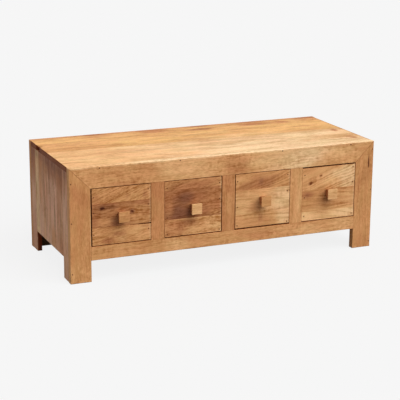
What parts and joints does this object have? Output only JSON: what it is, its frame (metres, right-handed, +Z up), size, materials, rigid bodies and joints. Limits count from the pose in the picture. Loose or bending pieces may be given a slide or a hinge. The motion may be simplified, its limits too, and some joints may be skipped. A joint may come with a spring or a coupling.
{
  "type": "coffee table with drawers",
  "caption": "Low oblong mango-wood coffee table with a row of square-fronted drawers set flush into each long side, mitred corner posts as legs and square tapered knobs.",
  "frame": {"origin": "on the floor, under the middle of the table", "axes": "+X along the table's length, to the right seen from the pictured front; -Y out of that front; +Z up"},
  "size_m": [1.2, 0.5604, 0.415],
  "materials": {
    "top_wood": "satin wax",
    "side_wood": "satin wax",
    "frame_wood": "satin wax",
    "drawer_front_wood": "satin wax",
    "drawer_box_wood": "bare sanded wood",
    "knob_wood": "satin wax",
    "inner_wood": "bare sawn wood",
    "nail_steel": "dull"
  },
  "bodies": {
    "case": {"back_bottom_rail": "frame_wood", "back_frame_nails": "nail_steel", "back_left_post": "frame_wood", "back_mullions": "frame_wood", "back_right_post": "frame_wood", "back_top_rail": "frame_wood", "centre_divider": "inner_wood", "drawer_guides": "inner_wood", "drawer_kickers": "inner_wood", "drawer_runners": "inner_wood", "front_bottom_rail": "frame_wood", "front_frame_nails": "nail_steel", "front_left_post": "frame_wood", "front_mullions": "frame_wood", "front_right_post": "frame_wood", "front_top_rail": "frame_wood", "left_side_panel": "side_wood", "right_side_panel": "side_wood", "top_panel": "top_wood"},
    "front_drawer_1": {"front_drawer_1_back": "drawer_box_wood", "front_drawer_1_bottom": "drawer_box_wood", "front_drawer_1_front": "drawer_front_wood", "front_drawer_1_knob": "knob_wood", "front_drawer_1_sides": "drawer_box_wood"},
    "front_drawer_2": {"front_drawer_2_back": "drawer_box_wood", "front_drawer_2_bottom": "drawer_box_wood", "front_drawer_2_front": "drawer_front_wood", "front_drawer_2_knob": "knob_wood", "front_drawer_2_sides": "drawer_box_wood"},
    "front_drawer_3": {"front_drawer_3_back": "drawer_box_wood", "front_drawer_3_bottom": "drawer_box_wood", "front_drawer_3_front": "drawer_front_wood", "front_drawer_3_knob": "knob_wood", "front_drawer_3_sides": "drawer_box_wood"},
    "front_drawer_4": {"front_drawer_4_back": "drawer_box_wood", "front_drawer_4_bottom": "drawer_box_wood", "front_drawer_4_front": "drawer_front_wood", "front_drawer_4_knob": "knob_wood", "front_drawer_4_sides": "drawer_box_wood"},
    "back_drawer_1": {"back_drawer_1_back": "drawer_box_wood", "back_drawer_1_bottom": "drawer_box_wood", "back_drawer_1_front": "drawer_front_wood", "back_drawer_1_knob": "knob_wood", "back_drawer_1_sides": "drawer_box_wood"},
    "back_drawer_2": {"back_drawer_2_back": "drawer_box_wood", "back_drawer_2_bottom": "drawer_box_wood", "back_drawer_2_front": "drawer_front_wood", "back_drawer_2_knob": "knob_wood", "back_drawer_2_sides": "drawer_box_wood"},
    "back_drawer_3": {"back_drawer_3_back": "drawer_box_wood", "back_drawer_3_bottom": "drawer_box_wood", "back_drawer_3_front": "drawer_front_wood", "back_drawer_3_knob": "knob_wood", "back_drawer_3_sides": "drawer_box_wood"},
    "back_drawer_4": {"back_drawer_4_back": "drawer_box_wood", "back_drawer_4_bottom": "drawer_box_wood", "back_drawer_4_front": "drawer_front_wood", "back_drawer_4_knob": "knob_wood", "back_drawer_4_sides": "drawer_box_wood"}
  },
  "joints": [
    {"name": "front_drawer_1_slide", "type": "slide", "parent": "case", "child": "front_drawer_1", "axis": [0, -1, 0], "range_m": [0, 0.16]},
    {"name": "front_drawer_2_slide", "type": "slide", "parent": "case", "child": "front_drawer_2", "axis": [0, -1, 0], "range_m": [0, 0.16]},
    {"name": "front_drawer_3_slide", "type": "slide", "parent": "case", "child": "front_drawer_3", "axis": [0, -1, 0], "range_m": [0, 0.16]},
    {"name": "front_drawer_4_slide", "type": "slide", "parent": "case", "child": "front_drawer_4", "axis": [0, -1, 0], "range_m": [0, 0.16]},
    {"name": "back_drawer_1_slide", "type": "slide", "parent": "case", "child": "back_drawer_1", "axis": [0, 1, 0], "range_m": [0, 0.16]},
    {"name": "back_drawer_2_slide", "type": "slide", "parent": "case", "child": "back_drawer_2", "axis": [0, 1, 0], "range_m": [0, 0.16]},
    {"name": "back_drawer_3_slide", "type": "slide", "parent": "case", "child": "back_drawer_3", "axis": [0, 1, 0], "range_m": [0, 0.16]},
    {"name": "back_drawer_4_slide", "type": "slide", "parent": "case", "child": "back_drawer_4", "axis": [0, 1, 0], "range_m": [0, 0.16]}
  ]
}
